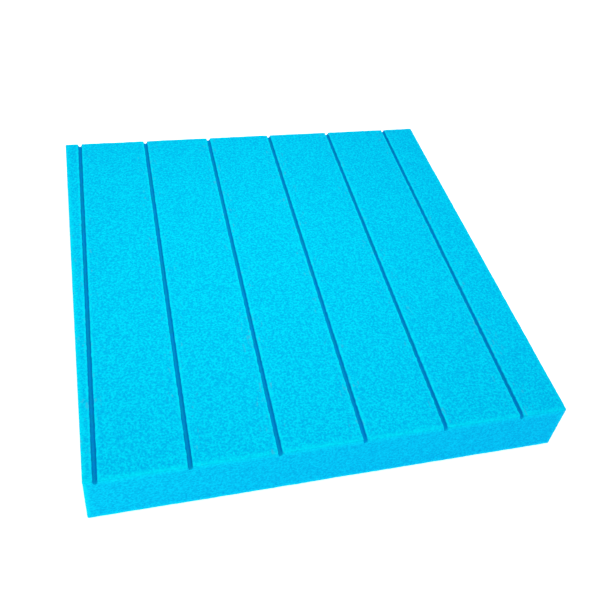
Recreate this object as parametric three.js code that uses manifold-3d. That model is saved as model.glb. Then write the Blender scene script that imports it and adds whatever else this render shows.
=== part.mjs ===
// A piece of extruded polystyrene (XPS) insulation board with keying grooves across its top face.
//
// It is one piece of rigid foam: extruded, sawn to size and grooved, so it is one mesh.
// Millimetres, +Z up. The origin is the centre of the underside, and the grooves run along Y,
// turned a little from the sides because the piece was sawn slightly askew.

import * as THREE from "three";
import { mergeVertices } from "three/addons/utils/BufferGeometryUtils.js";
import Module from "manifold-3d";

// Board
const boardWidth = 575; // across the grooves, along X
const boardLength = 600; // along the grooves, along Y
const boardThickness = 75;
const arrisRadius = 2; // the long edges of the faces, dulled by handling
const cornerRadius = 2.5; // the four upright corners, which dull a little more

// Grooves
const groovePitch = 100; // from one groove's centre to the next
const firstGrooveInset = 17.8; // from the left side to the first centre, at half length
const leastRightMargin = 15; // no groove is started closer to the right side than this
const grooveMouthWidth = 5;
const grooveRootWidth = 3.2; // where the walls run into the round bottom
const grooveDepth = 6;
const grooveSkewDegrees = 0.81; // positive leans the back ends towards +X

// Fineness of round stretches
const arrisSegments = 4;
const cornerSegments = 6;
const rootSegments = 8;
const cutterOverrun = 10; // how far a cutter stands out of the board

const boardColour = 0x08ccf2;

const wasm = await Module();
wasm.setup();

// A closed three.js geometry as a solid that can be cut.
function solidFrom(geometry) {
  const bare = geometry.clone();
  bare.deleteAttribute("normal");
  bare.deleteAttribute("uv");
  const merged = mergeVertices(bare, 1e-4);
  const mesh = new wasm.Mesh({
    numProp: 3,
    vertProperties: new Float32Array(merged.attributes.position.array),
    triVerts: new Uint32Array(merged.index.array),
  });
  return new wasm.Manifold(mesh);
}

// A solid back as a three.js geometry with flat-shaded faces.
function geometryFrom(solid) {
  const mesh = solid.getMesh();
  const indexed = new THREE.BufferGeometry();
  indexed.setAttribute("position", new THREE.BufferAttribute(mesh.vertProperties, 3));
  indexed.setIndex(new THREE.BufferAttribute(mesh.triVerts, 1));
  const geometry = indexed.toNonIndexed();
  geometry.computeVertexNormals();
  return geometry;
}

// The board's plan as a rectangle with round corners, centred on the origin.
function boardPlan() {
  const right = boardWidth / 2;
  const back = boardLength / 2;
  const quarter = Math.PI / 2;
  const plan = new THREE.Shape();
  plan.absarc(right - cornerRadius, back - cornerRadius, cornerRadius, 0, quarter);
  plan.absarc(cornerRadius - right, back - cornerRadius, cornerRadius, quarter, 2 * quarter);
  plan.absarc(cornerRadius - right, cornerRadius - back, cornerRadius, 2 * quarter, 3 * quarter);
  plan.absarc(right - cornerRadius, cornerRadius - back, cornerRadius, 3 * quarter, 4 * quarter);
  plan.closePath();
  return plan;
}

// The plain block, with dulled arrises, standing on z = 0.
function boardBlock() {
  const geometry = new THREE.ExtrudeGeometry(boardPlan(), {
    depth: boardThickness - 2 * arrisRadius,
    curveSegments: cornerSegments,
    bevelEnabled: true,
    bevelThickness: arrisRadius,
    bevelSize: arrisRadius,
    bevelOffset: -arrisRadius,
    bevelSegments: arrisSegments,
  });
  geometry.translate(0, 0, arrisRadius);
  return geometry;
}

// A groove's section: straight walls that lean in a little, and a round bottom. Its y is height above the face.
function grooveSection() {
  const mouth = grooveMouthWidth / 2;
  const root = grooveRootWidth / 2;
  const rootCentre = root - grooveDepth;
  const section = new THREE.Shape();
  section.moveTo(-mouth, cutterOverrun);
  section.lineTo(-mouth, 0);
  section.lineTo(-root, rootCentre);
  section.absarc(0, rootCentre, root, Math.PI, 2 * Math.PI);
  section.lineTo(mouth, 0);
  section.lineTo(mouth, cutterOverrun);
  section.closePath();
  return section;
}

// What one groove takes away: its section drawn along the board and past both ends, turned by the skew.
function grooveCutter(centreX) {
  const run = boardLength + 2 * cutterOverrun;
  const geometry = new THREE.ExtrudeGeometry(grooveSection(), {
    depth: run,
    curveSegments: rootSegments,
    bevelEnabled: false,
  });
  geometry.rotateX(Math.PI / 2);
  geometry.translate(0, run / 2, 0);
  geometry.rotateZ(-THREE.MathUtils.degToRad(grooveSkewDegrees));
  geometry.translate(centreX, 0, boardThickness);
  return geometry;
}

// The X of each groove's centre at half length, counted from the left side as far as the board allows.
function grooveCentres() {
  const spare = boardWidth - firstGrooveInset - leastRightMargin;
  const count = Math.floor(spare / groovePitch) + 1;
  const first = firstGrooveInset - boardWidth / 2;
  return Array.from({ length: count }, (_, i) => first + i * groovePitch);
}

function makeBoard() {
  let solid = solidFrom(boardBlock());
  for (const centreX of grooveCentres()) {
    solid = solid.subtract(solidFrom(grooveCutter(centreX)));
  }
  const foam = new THREE.MeshStandardMaterial({
    color: boardColour,
    roughness: 0.85,
    metalness: 0,
  });
  const board = new THREE.Mesh(geometryFrom(solid), foam);
  board.name = "insulation_board";
  return board;
}

const part = new THREE.Group();
part.add(makeBoard());

export default part;
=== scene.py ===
# %% [markdown]
# A grooved insulation board in extruded foam.
#
# The real board is one slab of closed-cell foam. It leaves the extruder as a thick ribbon, is planed
# flat, is sawn to size, and then a row of narrow saw grooves is run along one face, so that render or
# adhesive can key into it.
#
# The measured solid is loaded first and stays fixed, because other parts are fitted to it. All that
# follows builds a finer slab in the same place: softer edges, ragged groove lips and a finish that reads
# as foam.

# %% Load the measured board
import math

import bmesh
import bpy
from mathutils import Matrix, Vector


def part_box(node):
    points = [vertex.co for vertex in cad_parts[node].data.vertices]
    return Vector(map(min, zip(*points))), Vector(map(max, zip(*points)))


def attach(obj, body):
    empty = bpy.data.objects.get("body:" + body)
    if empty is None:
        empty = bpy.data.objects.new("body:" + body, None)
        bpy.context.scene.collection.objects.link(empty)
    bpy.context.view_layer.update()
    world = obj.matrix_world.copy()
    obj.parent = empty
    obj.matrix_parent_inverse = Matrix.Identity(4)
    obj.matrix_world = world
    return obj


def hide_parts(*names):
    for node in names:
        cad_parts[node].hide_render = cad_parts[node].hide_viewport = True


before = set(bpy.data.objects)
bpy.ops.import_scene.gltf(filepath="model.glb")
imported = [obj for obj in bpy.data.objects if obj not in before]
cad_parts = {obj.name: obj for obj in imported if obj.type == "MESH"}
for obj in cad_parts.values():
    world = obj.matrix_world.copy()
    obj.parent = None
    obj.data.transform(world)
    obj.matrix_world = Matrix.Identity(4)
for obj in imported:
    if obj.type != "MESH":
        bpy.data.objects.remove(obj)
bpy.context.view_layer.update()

board_low, board_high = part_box("insulation_board")
board_width, board_length, board_thickness = board_high - board_low
print(f"the board is {board_width:.3f} x {board_length:.3f} x {board_thickness:.3f} m")

# %% [markdown]
# The camera comes first, because everything else is judged through it.
#
# A photograph of a straight-edged slab can be worked back to the place that it was taken from: the six
# grooves run to one vanishing point, the front and back edges to another. That gives a spot above and in
# front of the left corner, looking down and to the right, with the camera held a little off level. The
# three turns are written in the order a photographer would make them: swing round, tip down, roll. The
# picture was also cropped off centre, so the lens is shifted a little both ways.

# %% Camera
camera_place = Vector((-0.2437, -0.7726, 0.8463))
camera_swing = math.radians(20.86)
camera_tip = math.radians(43.11)
camera_roll = math.radians(9.46)
camera_lens = 48.26
film_width = 36.0
crop_shift = (-0.0369, -0.0675)

camera_data = bpy.data.cameras.new("camera")
camera_data.sensor_width = film_width
camera_data.lens = camera_lens
camera_data.shift_x, camera_data.shift_y = crop_shift
camera = bpy.data.objects.new("camera", camera_data)
camera.matrix_world = (
    Matrix.Translation(camera_place)
    @ Matrix.Rotation(-camera_swing, 4, "Z")
    @ Matrix.Rotation(math.pi / 2 - camera_tip, 4, "X")
    @ Matrix.Rotation(camera_roll, 4, "Z")
)
bpy.context.scene.collection.objects.link(camera)
bpy.context.scene.camera = camera
camera_distance = (camera_place - (board_low + board_high) / 2).length
print(f"the camera stands {camera_distance:.3f} m from the board's middle")

# %% [markdown]
# The slab starts as a box of the measured size.
#
# A cube primitive is added at its size and place, and its scale is applied at once, because a bevel made
# on a scaled object comes out stretched. The fixed board is still selected after loading, so everything
# is deselected first: an operator acts on all that is selected.


# %% Block
def add_box(name, centre, size):
    bpy.ops.object.select_all(action="DESELECT")
    bpy.ops.mesh.primitive_cube_add(size=1, location=centre, scale=size)
    box = bpy.context.active_object
    box.name = name
    bpy.ops.object.transform_apply(location=False, rotation=False, scale=True)
    return box


board = add_box("xps_board", (board_low + board_high) / 2, board_high - board_low)
bpy.ops.object.transform_apply(location=True, rotation=False, scale=False)
print("the block has", len(board.data.vertices), "corners")

# %% [markdown]
# Sawn foam never keeps a knife edge.
#
# The first handling crushes the outermost cells, so the four upright corners and the edges of both faces
# are rounded by two millimetres or a little more. A bevel in edit mode does that. Edges are picked by
# where they run: the upright ones first, and then every edge that lies in the top or the bottom plane.

# %% Dulled edges
corner_radius = 0.0025
corner_steps = 4
arris_radius = 0.002
arris_steps = 4
near = 1e-5  # places closer together than this count as the same


def pick(thing, kind, test):
    """In edit mode, selects the verts, edges or faces that pass the test, and nothing else."""
    bpy.ops.mesh.select_mode(type={"verts": "VERT", "edges": "EDGE", "faces": "FACE"}[kind])
    bpy.ops.mesh.select_all(action="DESELECT")
    shape = bmesh.from_edit_mesh(thing.data)
    chosen = [element for element in getattr(shape, kind) if test(element)]
    for element in chosen:
        element.select_set(True)
    shape.select_flush_mode()
    bmesh.update_edit_mesh(thing.data)
    return len(chosen)


def stands_upright(edge):
    a, b = edge.verts
    return abs(a.co.z - b.co.z) > board_thickness / 2


def lies_in_a_face_plane(edge):
    a, b = edge.verts
    level = abs(a.co.z - b.co.z) < near
    return level and (abs(a.co.z - board_high.z) < near or abs(a.co.z - board_low.z) < near)


bpy.ops.object.mode_set(mode="EDIT")
uprights = pick(board, "edges", stands_upright)
bpy.ops.mesh.bevel(offset=corner_radius, segments=corner_steps, affect="EDGES")
outline = pick(board, "edges", lies_in_a_face_plane)
bpy.ops.mesh.bevel(offset=arris_radius, segments=arris_steps, affect="EDGES")
bpy.ops.object.mode_set(mode="OBJECT")
print(f"{uprights} upright corners and {outline} outline edges are rounded")

# %% [markdown]
# The grooves are cut the way the factory cuts them: with a blade.
#
# One blade is modelled as a long bar in the shape of the slot, a little narrower at its round tip than at
# the mouth. An Array modifier sets six of them side by side, and a Boolean takes them out of the block in
# one pass. The slots lean by under a degree, because the piece was sawn slightly askew. Cutting with a
# solid keeps the ends of the slots open, which pushing faces down by hand would not.

# %% Groove sizes, as on the measured board
groove_count = 6
groove_pitch = 0.100
first_groove_inset = 0.0178
groove_mouth = 0.005
groove_root = 0.0032
groove_depth = 0.006
groove_lean = math.radians(0.81)
first_groove_x = board_low.x + first_groove_inset


def groove_x(number, y):
    """Where a groove's middle lies at a given distance along the board."""
    return first_groove_x + number * groove_pitch + y * math.tan(groove_lean)


crossings = [round(groove_x(n, 0) * 1000, 1) for n in range(groove_count)]
print("the grooves cross the middle at", crossings, "mm")

# %% Blade
blade_overrun = 0.010
tip_steps = 5
tip_radius = groove_root * 0.48  # just under half the tip's width, so that the two round edges don't meet
blade_height = groove_depth + blade_overrun
blade_centre = Vector((groove_x(0, 0), 0, board_high.z - groove_depth + blade_height / 2))
blade = add_box("blade", blade_centre, (groove_mouth, board_length + 2 * blade_overrun, blade_height))
mouth_height = groove_depth - blade_height / 2
tip_height = -blade_height / 2


def is_tip(vert):
    return abs(vert.co.z - tip_height) < near


def is_long_tip_edge(edge):
    a, b = edge.verts
    return is_tip(a) and is_tip(b) and abs(a.co.x - b.co.x) < near


bpy.ops.object.mode_set(mode="EDIT")
bpy.ops.mesh.select_all(action="SELECT")
bpy.ops.mesh.bisect(plane_co=blade.matrix_world @ Vector((0, 0, mouth_height)), plane_no=(0, 0, 1))
pick(blade, "verts", is_tip)
bpy.ops.transform.resize(value=(groove_root / groove_mouth, 1, 1), center_override=blade_centre)
pick(blade, "edges", is_long_tip_edge)
bpy.ops.mesh.bevel(offset=tip_radius, segments=tip_steps, affect="EDGES")
bpy.ops.object.mode_set(mode="OBJECT")
blade.rotation_euler.z = -groove_lean
bpy.ops.object.transform_apply(location=True, rotation=True, scale=True)
print("the blade has", len(blade.data.polygons), "faces")


# %% Cut the grooves
def apply_modifier(thing, kind, **settings):
    """Adds a modifier with these settings and applies it at once."""
    bpy.ops.object.select_all(action="DESELECT")
    bpy.context.view_layer.objects.active = thing
    thing.select_set(True)
    modifier = thing.modifiers.new(kind.title(), kind)
    for name, value in settings.items():
        setattr(modifier, name, value)
    bpy.ops.object.modifier_apply(modifier=modifier.name)


apply_modifier(
    blade,
    "ARRAY",
    count=groove_count,
    use_relative_offset=False,
    use_constant_offset=True,
    constant_offset_displace=(groove_pitch, 0, 0),
)
apply_modifier(board, "BOOLEAN", operation="DIFFERENCE", solver="EXACT", object=blade)
bpy.data.objects.remove(blade)
print("the grooved block has", len(board.data.polygons), "faces")

# %% [markdown]
# A saw tears the last cells at the lip of a slot.
#
# So a slot in foam has a soft lip, not a sharp one. The lip edges are found by their place, at the height
# of the face and half a mouth from a groove's middle, and a small bevel rounds them.

# %% Soft lips
lip_radius = 0.0006
lip_steps = 2
lip_slack = 1e-4


def distance_from_groove(point):
    """How far a point lies, across the board, from the middle of the nearest groove."""
    return min(abs(point.x - groove_x(n, point.y)) for n in range(groove_count))


def is_lip(edge):
    a, b = edge.verts
    along = abs(a.co.y - b.co.y) > board_length / 2
    high = min(a.co.z, b.co.z) > board_high.z - near
    return along and high and abs(distance_from_groove(a.co) - groove_mouth / 2) < lip_slack


bpy.ops.object.mode_set(mode="EDIT")
lips = pick(board, "edges", is_lip)
bpy.ops.mesh.bevel(offset=lip_radius, segments=lip_steps, affect="EDGES")
bpy.ops.object.mode_set(mode="OBJECT")
print(lips, "groove lips are rounded")

# %% [markdown]
# A flat face with four corners has nothing that can be worn or torn, so the slab is divided into small
# cells.
#
# Lines are marked at the front and at the back edge, as with a pencil and a rule, and each pair is joined
# by a bisect. Between two grooves the lines follow the grooves, and towards the sides they straighten, so
# no sliver is left anywhere. A second set runs across the board and a third goes round its sides.

# %% Cells
cell = 0.0037
merge_distance = 2e-6


def bisect_everything(point, normal):
    bpy.ops.mesh.select_all(action="SELECT")
    bpy.ops.mesh.bisect(plane_co=point, plane_no=normal)


def between(start, end, step):
    """Evenly spaced values inside a stretch, at most a step apart."""
    count = max(1, math.ceil(abs(end - start) / step))
    return [start + (end - start) * k / count for k in range(1, count)]


def bisect_along(front, back):
    """One lengthwise line, given as its x at the front and at the back edge."""
    bisect_everything((front, board_low.y, 0), (board_length, front - back, 0))


def bisect_between(left, right):
    """Evenly spaced lengthwise lines between two marks."""
    gap = (right[0] - left[0] + right[1] - left[1]) / 2
    steps = between(0, 1, cell / gap)
    for t in steps:
        bisect_along(left[0] + (right[0] - left[0]) * t, left[1] + (right[1] - left[1]) * t)
    return len(steps)


lip_reach = groove_mouth / 2 + lip_radius
marks = [[board_low.x + corner_radius] * 2]
bpy.ops.object.mode_set(mode="EDIT")
bpy.ops.mesh.select_mode(type="FACE")
for n in range(groove_count):
    for offset in (-lip_reach, 0, lip_reach):
        ends = [groove_x(n, y) + offset for y in (board_low.y, board_high.y)]
        bisect_along(*ends)
        if offset:
            marks.append(ends)
marks.append([board_high.x - corner_radius] * 2)
lengthwise = sum(bisect_between(marks[i], marks[i + 1]) for i in range(0, len(marks), 2))
heights = between(board_low.z + arris_radius, board_high.z - arris_radius, cell)
for z in heights:
    bisect_everything((0, 0, z), (0, 0, 1))
rows = between(board_low.y + corner_radius, board_high.y - corner_radius, cell)
for y in rows:
    bisect_everything((0, y, 0), (0, 1, 0))
bpy.ops.mesh.select_all(action="SELECT")
bpy.ops.mesh.remove_doubles(threshold=merge_distance)
bpy.ops.object.mode_set(mode="OBJECT")
print(f"{lengthwise} lengthwise, {len(rows)} cross and {len(heights)} level lines")
print(len(board.data.polygons), "cells")

# %% [markdown]
# Now the slab gets its unevenness, in three sizes.
#
# The planer leaves very shallow waves some centimetres long. The cut cells leave a fine roughness of up
# to three tenths of a millimetre. At the lips and the edges whole cells are missing, and vertex groups
# keep that coarse wear where it belongs. A group holds a weight for every vertex, worked out here from
# the vertex's place.

# %% Where the foam is torn
worn_reach = 0.005
torn_wall = groove_depth * 0.8  # the tearing fades over this depth of a groove's wall


def edge_distance(point):
    """How far a point on the slab is from the nearest edge between two of its faces."""
    gaps = [
        min(point.x - board_low.x, board_high.x - point.x),
        min(point.y - board_low.y, board_high.y - point.y),
        min(point.z - board_low.z, board_high.z - point.z),
    ]
    return sum(gaps) - max(gaps)


def weigh(name, weight_at):
    """Makes a vertex group with a weight for each vertex."""
    group = board.vertex_groups.new(name=name)
    for vertex in board.data.vertices:
        group.add([vertex.index], weight_at(vertex.co), "REPLACE")
    return group


def lip_weight(point):
    """Full at a groove's lip, fading over one cell along the face and over most of the groove's wall."""
    beside = max(0.0, distance_from_groove(point) - lip_reach)
    below = board_high.z - point.z
    if below > groove_depth:
        return 0.0
    return max(0.0, 1.0 - beside / cell - max(0.0, below - lip_radius) / torn_wall)


def worn_weight(point):
    """Full at an edge of the slab, fading over a few millimetres."""
    return max(0.0, 1.0 - edge_distance(point) / worn_reach)


weigh("lips", lip_weight)
weigh("worn edges", worn_weight)
print("the groups hold", sum(lip_weight(v.co) > 0 for v in board.data.vertices), "lip vertices")

# %% [markdown]
# Each unevenness is a Displace modifier with its own cloud texture.
#
# With the middle level at the top of the texture, a modifier can only push inwards, so the slab never
# outgrows its measured size. The crumbled lips sink straight down, because along their normals they would
# fold over. The torn lips come last and swing to both sides across the groove, which has room for it, so
# its edge runs ragged.


# %% Relief
def cloud(name, size, depth=2):
    texture = bpy.data.textures.new(name, "CLOUDS")
    texture.noise_scale = size
    texture.noise_depth = depth
    return texture


def roughen(texture, strength, group="", direction="NORMAL", level=1.0):
    """Displaces the slab by a texture. A level of 1 pushes inwards only, and 0.5 goes both ways."""
    apply_modifier(
        board,
        "DISPLACE",
        texture=texture,
        strength=strength,
        mid_level=level,
        vertex_group=group,
        direction=direction,
    )


roughen(cloud("planer waves", size=0.070, depth=1), strength=0.0004)
roughen(cloud("cut cells", size=0.0045), strength=0.0003)
roughen(cloud("worn edges", size=0.0090), strength=0.0010, group="worn edges")
roughen(cloud("crumbled lips", size=0.0060), strength=0.0008, group="lips", direction="Z")
roughen(cloud("torn lips", size=0.0060), strength=0.0016, group="lips", direction="X", level=0.5)
print("triangles:", sum(len(p.vertices) - 2 for p in board.data.polygons))

# %% [markdown]
# Foam shades softly over its small dents, but the edges between faces stay crisp.
#
# So edges under a set angle are shaded smooth and sharper ones stay hard. The normals are made consistent
# first, in case a cut has left some faces turned over.

# %% Smooth the shading
sharp_angle = math.radians(50)

bpy.ops.object.mode_set(mode="EDIT")
bpy.ops.mesh.select_all(action="SELECT")
bpy.ops.mesh.normals_make_consistent(inside=False)
bpy.ops.object.mode_set(mode="OBJECT")
bpy.ops.object.shade_smooth_by_angle(angle=sharp_angle)
print("the slab now spans", [round(v * 1000, 2) for v in board.dimensions], "mm")

# %% [markdown]
# Materials are networks of nodes, and most of the work in them is arithmetic.
#
# Wired one by one the nodes hide the idea, so a small class wraps a socket and lets Python's own signs
# stand for Math nodes: a * b adds a Multiply, 1 - a adds a Subtract. Colours go through Mix nodes,
# because a Math node would turn them grey. Any other node comes from one method, which sets the node up
# before it plugs anything in.


# %% Sockets that can be added and multiplied
class Wire:
    """One output socket of a finish's node tree."""

    def __init__(self, finish, socket):
        self.finish = finish
        self.socket = socket

    def maths(self, operation, *values):
        return self.finish.node("ShaderNodeMath", {"operation": operation}, dict(enumerate(values)))

    def __add__(self, other):
        return self.maths("ADD", self, other)

    def __sub__(self, other):
        return self.maths("SUBTRACT", self, other)

    def __rsub__(self, other):
        return self.maths("SUBTRACT", other, self)

    def __mul__(self, other):
        return self.maths("MULTIPLY", self, other)

    __radd__ = __add__
    __rmul__ = __mul__

    def __abs__(self):
        return self.maths("ABSOLUTE", self)

    def least(self, other):
        return self.maths("MINIMUM", self, other)

    def most(self, other):
        return self.maths("MAXIMUM", self, other)

    def wrapped(self, span):
        """The distance to the nearest whole multiple of a span."""
        return self.maths("PINGPONG", self, span / 2)

    def ramp(self, low, high):
        """0 where the value is at low, 1 where it is at high, and smooth in between."""
        settings = {"interpolation_type": "SMOOTHSTEP", "clamp": True}
        inputs = {"Value": self, "From Min": low, "From Max": high}
        return self.finish.node("ShaderNodeMapRange", settings, inputs)


class Finish:
    """A material, and the one way that nodes are added to it."""

    def __init__(self, name):
        self.material = bpy.data.materials.new(name)
        self.material.use_nodes = True
        self.tree = self.material.node_tree
        self.shader = self.tree.nodes["Principled BSDF"]
        self.place = self.node("ShaderNodeTexCoord", output="Object")

    def node(self, kind, settings=None, inputs=None, output=0):
        made = self.tree.nodes.new(kind)
        for name, value in (settings or {}).items():
            setattr(made, name, value)
        for name, value in (inputs or {}).items():
            self.plug(self.socket_of(made, name), value)
        return Wire(self, made.outputs[output])

    def socket_of(self, node, name):
        """The input of that number, or the one in use of that name."""
        if isinstance(name, int):
            return node.inputs[name]
        return next(s for s in node.inputs if s.name == name and s.enabled)

    def plug(self, socket, value):
        if isinstance(value, Wire):
            self.tree.links.new(value.socket, socket)
        else:
            socket.default_value = value

    def mix(self, factor, a, b):
        inputs = {"Factor": factor, "A": a, "B": b}
        return self.node("ShaderNodeMix", {"data_type": "RGBA"}, inputs, output=2)

    def noise(self, size, detail=2.0, roughness=0.5, stretch=(1, 1, 1)):
        """Soft noise with features of a size in metres, longer along an axis by its stretch."""
        scale = [1 / s for s in stretch]
        placing = {"Vector": self.place, "Scale": scale}
        spot = self.node("ShaderNodeMapping", {"vector_type": "POINT"}, placing)
        inputs = {"Vector": spot, "Scale": 1 / size, "Detail": detail, "Roughness": roughness}
        return self.node("ShaderNodeTexNoise", {"noise_dimensions": "3D"}, inputs)


print("the node helpers are ready")

# %% [markdown]
# The finish of the foam follows from how each face was made.
#
# The dye goes right through the foam, so there is one colour, and what changes is how the cut cells catch
# the light; on top of that come a painted shade on the sides and in the grooves, and a painted highlight
# along the edges and lips. All of this comes from the Object coordinates, so the pattern is tied to the
# slab in metres: how far a point is from a groove's middle, from an edge, from the top.
#
# The distance to the nearest groove is a fold: the grooves repeat at every pitch, so the coordinate runs
# back and forth between one groove's middle and the point halfway to the next. A ping-pong Math node does
# just that.

# %% Masks from the place on the board
side_blend = 0.0006

foam = Finish("xps_foam")
axes = foam.node("ShaderNodeSeparateXYZ", None, {"Vector": foam.place})
x, y, z = (Wire(foam, output) for output in axes.socket.node.outputs)

gap_x = board_width / 2 - abs(x)
gap_y = board_length / 2 - abs(y)
gap_z = board_thickness / 2 - abs(z - board_thickness / 2)
from_edge = gap_x + gap_y + gap_z - gap_x.most(gap_y).most(gap_z)
on_side = (gap_z - gap_x.least(gap_y)).ramp(-side_blend, side_blend)
from_groove = (x - y * math.tan(groove_lean) - first_groove_x).wrapped(groove_pitch)
below_top = board_thickness - z
print("the masks use", len(foam.tree.nodes), "nodes")

# %% [markdown]
# A planed face is speckled, a sawn side less so.
#
# Some cells are cut open and look darker, and some have a bright skin across them, so one grain of noise
# picks between two tones. The sawn sides look calmer, and get two tones of their own that lie closer
# together and are darker than the top's: a painted shade on the sides.

# %% Speckle
open_cell = (0.0, 0.485, 0.840, 1)
skinned_cell = (0.0, 0.800, 1.0, 1)
# the side tones are darker than the top's: painted shade on the sides
open_cell_on_side_shaded = (0.0, 0.373, 0.684, 1)
skinned_cell_on_side_shaded = (0.0, 0.580, 0.830, 1)
grain_size = 0.0026

grain = foam.noise(grain_size, detail=2.0, roughness=0.65)
speckle = grain.ramp(0.30, 0.70)
face_colour = foam.mix(speckle, open_cell, skinned_cell)
shaded_side_colour = foam.mix(speckle, open_cell_on_side_shaded, skinned_cell_on_side_shaded)
# painted shade: the sides take the darker tones
base = foam.mix(on_side, face_colour, shaded_side_colour)
print("the blotches are about", grain_size * 1000, "mm across")

# %% [markdown]
# Foam that has been knocked turns pale, and a painted highlight is added on top of that.
#
# Crushed cells scatter more light, so a pale band runs along every edge and beside every groove; the band
# is also a painted highlight on the rounded edges, and painted light that lifts the shade of the sunken
# lips. It is broken up by a slow noise, so that it is uneven along each edge.

# %% Pale wear and painted highlight on edges and lips
# one pale tone for both the pale wear of crushed cells and the painted highlight
pale_wear_and_highlight = (0.0, 0.880, 1.0, 1)
wear_and_highlight_size = 0.006
rim_start = 0.0010
rim_end = 0.0085
rim_end_on_side = 0.0100
lip_start = groove_mouth / 2 + 0.0012
lip_end = groove_mouth / 2 + 0.0042

wear_and_highlight_patches = foam.noise(wear_and_highlight_size, detail=1.0).ramp(0.2, 0.8)
rim_limit = rim_end + (rim_end_on_side - rim_end) * on_side
# a pale band along the edges: pale wear and a painted highlight
rim = (1 - from_edge.ramp(rim_start, rim_limit)) * (0.4 + 0.35 * wear_and_highlight_patches) * (1 - 0.4 * on_side)
# a pale band beside the grooves: pale wear and painted light that lifts the shade of the lips
lip = (1 - from_groove.ramp(lip_start, lip_end)) * (1 - on_side) * (0.3 + 0.4 * wear_and_highlight_patches)
base = foam.mix(rim.most(lip), base, pale_wear_and_highlight)
print(f"the pale rim fades out {rim_end * 1000:.1f} mm from an edge")

# %% [markdown]
# Inside a groove the foam is painted darker: a painted shade for the recess.
#
# The painted shade needs two masks: near a groove's middle, and below the face. The upper limit is moved
# up and down by noise, so that the shade starts raggedly on the wall. At the open ends of a groove the
# painted shade is weaker. Patches of a greener tone vary the painted shade.

# %% Painted shade in the grooves
# the groove tones are painted shade for the recess
groove_painted_shade = (0.0, 0.355, 0.770, 1)
groove_painted_shade_green = (0.0, 0.380, 0.660, 1)
paint_start = groove_mouth / 2 + 0.0006
paint_end = groove_mouth / 2 + 0.0014
shade_edge_size = 0.0030
shade_edge_swing = 0.0040
dark_below = (0.0010, 0.0030)
dark_floor = (groove_depth + 0.0006, groove_depth + 0.0012)
end_length = 0.0030
groove_shade_patch_size = 0.006

within_mouth = 1 - from_groove.ramp(paint_start, paint_end)
shade_edge_noise = foam.noise(shade_edge_size, detail=1.0, stretch=(1, 1.5, 1)) - 0.5
shade_edge_depth = below_top + shade_edge_swing * shade_edge_noise
within_depth = shade_edge_depth.ramp(*dark_below) * (1 - below_top.ramp(*dark_floor))
open_end = 1 - gap_y.ramp(0.0, end_length)
# painted shade inside the grooves, weaker at their open ends
painted_groove_shade = within_mouth * within_depth * (1 - 0.8 * open_end)
groove_shade_patches = foam.noise(groove_shade_patch_size, detail=2.0, roughness=0.6, stretch=(1, 2, 1)).ramp(0.30, 0.70)
groove_shade_colour = foam.mix(groove_shade_patches, groove_painted_shade, groove_painted_shade_green)
base = foam.mix(painted_groove_shade, base, groove_shade_colour)
print(f"a groove is darkened out to {paint_end * 1000:.1f} mm from its middle")

# %% [markdown]
# Faint grey scuffs lie beside the grooves, most likely from the guide of the grooving machine.
#
# They run along the grooves, so the noise is stretched four times along the board. A slower noise gathers
# them in patches, and two ramps keep them out of the groove and near it.

# %% Scuffs beside the grooves
scuffed_skin = (0.045, 0.520, 0.760, 1)
scuff_size = 0.0026
scuff_patch_size = 0.030
scuff_strength = 0.7
scuff_fade = (0.006, 0.024)
mouth_side = (groove_mouth / 2, groove_mouth / 2 + 0.001)

scuff_grain = foam.noise(scuff_size, detail=1.0, stretch=(1, 4, 1)).ramp(0.64, 0.70)
scuff_patch = foam.noise(scuff_patch_size).ramp(0.40, 0.60)
beside_groove = (1 - from_groove.ramp(*scuff_fade)) * from_groove.ramp(*mouth_side) * (1 - on_side)
scuff = scuff_grain * scuff_patch * beside_groove
base = foam.mix(scuff_strength * scuff, base, scuffed_skin)
foam.plug(foam.shader.inputs["Base Color"], base)
print("the scuffs fade out", scuff_fade[1] * 1000, "mm from a groove")

# %% [markdown]
# Foam is dull, and its smallest cells are too small to model.
#
# So the shader is rough with hardly any gloss, and a Bump node adds what lies below the size of the
# mesh's cells: the same grain that sets the speckle, and a finer one.

# %% Foam surface
gloss = 0.01
fine_size = 0.0012
bump_strength = 0.5
bump_distance = 0.0006

foam.plug(foam.shader.inputs["Roughness"], 0.92 - 0.1 * speckle)
foam.shader.inputs["Specular IOR Level"].default_value = gloss
fine = foam.noise(fine_size, detail=3.0, roughness=0.6)
height = grain * 0.6 + fine * 0.4
relief = {"Height": height, "Strength": bump_strength, "Distance": bump_distance}
bump = foam.node("ShaderNodeBump", None, relief)
foam.plug(foam.shader.inputs["Normal"], bump)
board.data.materials.clear()
board.data.materials.append(foam.material)
print("the foam finish has", len(foam.tree.nodes), "nodes")

# %% [markdown]
# The slab takes the place of the measured solid, and both belong to the one body that the board is.

# %% Hand the slab over
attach(board, "root")
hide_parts("insulation_board")
print("the slab rides on root")

# %% [markdown]
# The board lies on a white table that runs out of the picture.
#
# The photograph has a pure white ground without a shadow, as on a lit table, so the floor glows a little.
# The foam throws a blue cast on it, and the glow leans to red to make up for that. Red light hardly
# changes the foam, which gives back next to none of it.

# %% Floor
floor_size = 8.0
floor_gap = 0.0004
floor_tones = ((0.96, 0.96, 0.96, 1), (0.98, 0.98, 0.98, 1))
floor_patch_size = 0.4
floor_glow_colour = (1, 0.86, 0.86, 1)
floor_glow = 0.70

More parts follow.
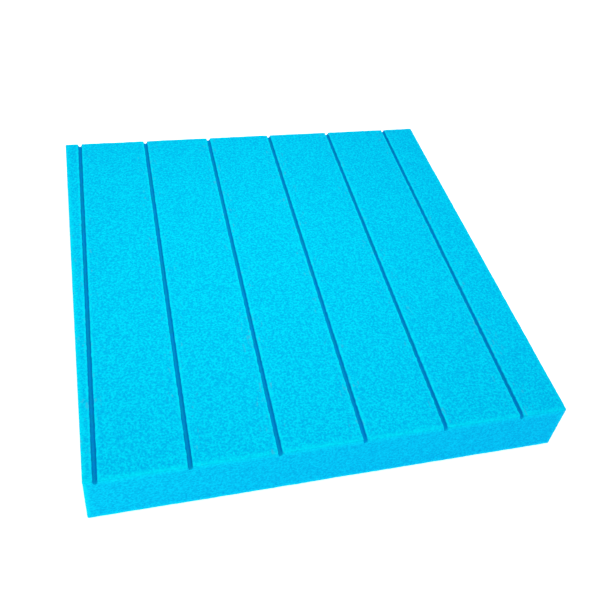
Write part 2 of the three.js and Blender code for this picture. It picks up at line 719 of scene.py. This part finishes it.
bpy.ops.object.select_all(action="DESELECT")
bpy.ops.mesh.primitive_plane_add(size=floor_size, location=(0, 0, board_low.z - floor_gap))
floor = bpy.context.active_object
floor.name = "floor"
paint = Finish("floor_paint")
floor_colour = paint.mix(paint.noise(floor_patch_size), *floor_tones)
paint.plug(paint.shader.inputs["Base Color"], floor_colour)
paint.shader.inputs["Roughness"].default_value = 0.9
paint.shader.inputs["Specular IOR Level"].default_value = 0.0
paint.shader.inputs["Emission Color"].default_value = floor_glow_colour
paint.shader.inputs["Emission Strength"].default_value = floor_glow
floor.data.materials.append(paint.material)
print("the floor lies", floor_gap * 1000, "mm below the board")

# %% [markdown]
# Three lights are enough for a slab.
#
# A cool, even sky fills everything. A lamp close above the middle of the board lights its middle most and
# falls off softly to the sides. It is warm, so green falls off with it and blue stays even, as in the
# photograph. A small low lamp in front, far to the left, makes the front face a little brighter at its
# left end.

# %% Lights
sky_colour = (0.731, 0.766, 1, 1)
sky_strength = 0.79

world = bpy.data.worlds.new("studio")
world.use_nodes = True
world.node_tree.nodes["Background"].inputs["Color"].default_value = sky_colour
world.node_tree.nodes["Background"].inputs["Strength"].default_value = sky_strength
bpy.context.scene.world = world


def add_lamp(name, place, aim, size, power, colour):
    lamp_data = bpy.data.lights.new(name, "AREA")
    lamp_data.size = size
    lamp_data.energy = power
    lamp_data.color = colour
    lamp = bpy.data.objects.new(name, lamp_data)
    lamp.location = place
    lamp.rotation_euler = (Vector(aim) - Vector(place)).to_track_quat("-Z", "Y").to_euler()
    bpy.context.scene.collection.objects.link(lamp)
    return lamp


add_lamp(
    "lamp_above",
    place=(-0.068, 0.02, 0.80),
    aim=(-0.068, 0.02, 0.0),
    size=0.4,
    power=2.35,
    colour=(1, 0.97, 0.60),
)
add_lamp(
    "lamp_in_front",
    place=(-1.1, -1.2, 0.17),
    aim=(0.0, -0.3, 0.04),
    size=0.3,
    power=5.7,
    colour=(1, 0.90, 0.40),
)
bpy.context.scene.view_settings.view_transform = "Standard"
print("the studio is lit")
